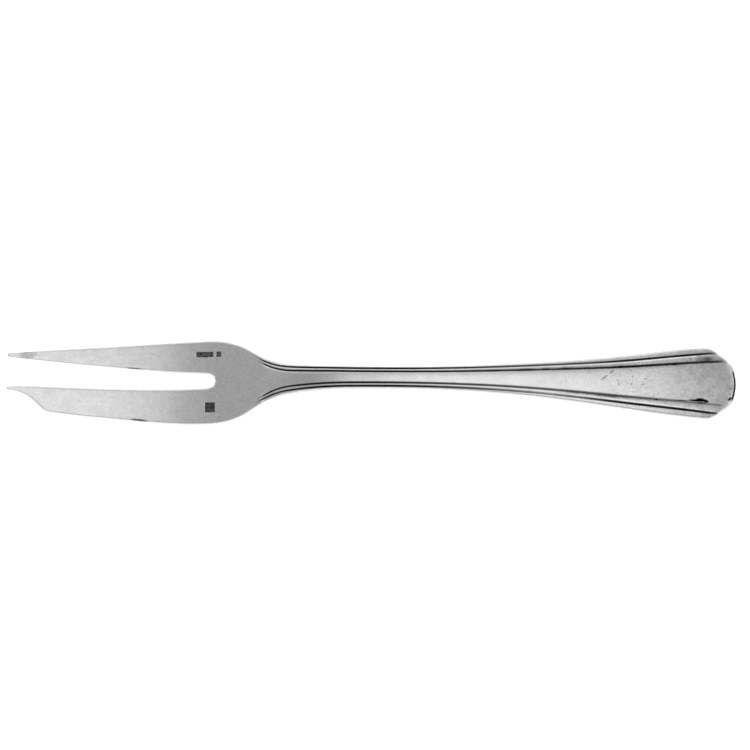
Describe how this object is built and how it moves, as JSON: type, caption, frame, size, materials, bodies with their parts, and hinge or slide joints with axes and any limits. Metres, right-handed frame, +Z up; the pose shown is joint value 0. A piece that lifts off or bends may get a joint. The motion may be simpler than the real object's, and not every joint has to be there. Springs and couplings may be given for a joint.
{
  "type": "seafood fork",
  "caption": "Silver-plated table fork with a slim pointed tine, a broad notched cutting tine and a threaded border on its flared handle.",
  "frame": {"origin": "middle of the fork's footprint, on the surface it lies on", "axes": "+X from the tips towards the end of the handle, +Y towards the slim tine, +Z up out of the fork's face"},
  "size_m": [0.1599, 0.0184, 0.0127],
  "materials": {
    "silver_plate": "worn silver plate on nickel silver, softly polished, with darker grooves and fine scratches"
  },
  "bodies": {
    "root": {"fork": "silver_plate"}
  },
  "joints": []
}
